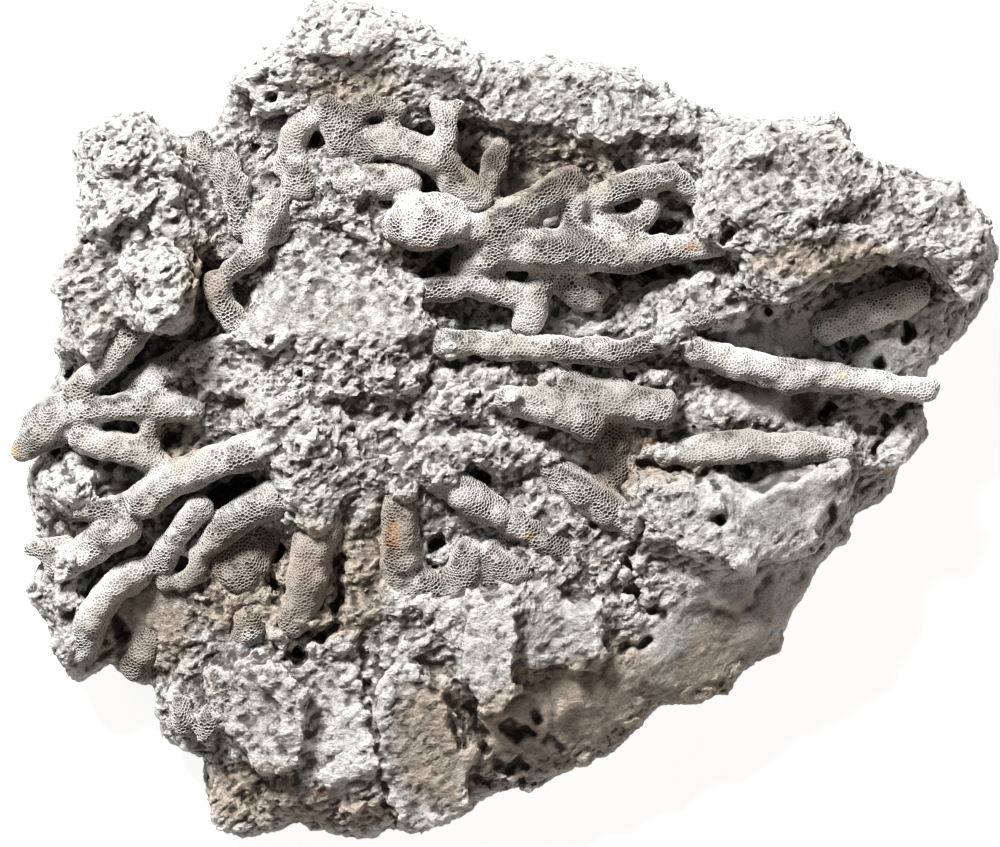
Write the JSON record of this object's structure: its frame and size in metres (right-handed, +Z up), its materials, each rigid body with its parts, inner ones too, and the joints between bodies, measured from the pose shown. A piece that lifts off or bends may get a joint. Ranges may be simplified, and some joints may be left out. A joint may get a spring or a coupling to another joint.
{
  "type": "fossil coral head",
  "caption": "Loose grey limestone specimen with a bush of branching fossil coral, pitted like honeycomb, weathered out of its upper face. It rests on its flat back.",
  "frame": {"origin": "On the surface that the specimen rests on, below the middle of its footprint.", "axes": "+X along its length, +Y across its width, +Z up through its thickness, out of the face that the coral stands on."},
  "size_m": [0.1978, 0.1672, 0.0464],
  "materials": {
    "limestone": "matte",
    "coral": "matte"
  },
  "bodies": {
    "root": {"blunt_finger": "coral", "bough_lump": "coral", "bough_web": "coral", "broad_branch": "coral", "buried_arm": "coral", "centre_bough": "coral", "centre_bough_fork": "coral", "claw_branch": "coral", "claw_stub": "coral", "coarse_branch": "coral", "cross_bar": "coral", "crossing_bough": "coral", "crossing_bough_knob": "coral", "cup_left_branch": "coral", "cup_right_branch": "coral", "drooping_arm": "coral", "edge_branch": "coral", "finger_link": "coral", "flat_finger": "coral", "free_finger": "coral", "hollow_rim": "coral", "honeycomb_branch": "coral", "hooked_branch": "coral", "inner_bar": "coral", "inner_sheet": "coral", "left_bough": "coral", "left_bough_fork": "coral", "left_bough_twig": "coral", "left_strut": "coral", "long_arch": "coral", "long_arch_spur": "coral", "long_finger": "coral", "low_patch": "coral", "low_tip": "coral", "lower_finger": "coral", "lower_knob": "coral", "lower_toe": "coral", "main_bough": "coral", "pointed_tip": "coral", "ring_bough": "coral", "ring_bough_stub": "coral", "ring_bough_tip": "coral", "ring_left_half": "coral", "ring_right_half": "coral", "shelf_arch": "coral", "shelf_lobe": "coral", "sheltered_branch": "coral", "smooth_column": "coral", "steep_branch": "coral", "stone_matrix": "limestone", "tall_arch_left_limb": "coral", "tall_arch_right_limb": "coral", "thin_ridge": "coral", "upper_finger": "coral", "upper_toe": "coral", "upright_strand": "coral", "upright_strut": "coral"}
  },
  "joints": []
}
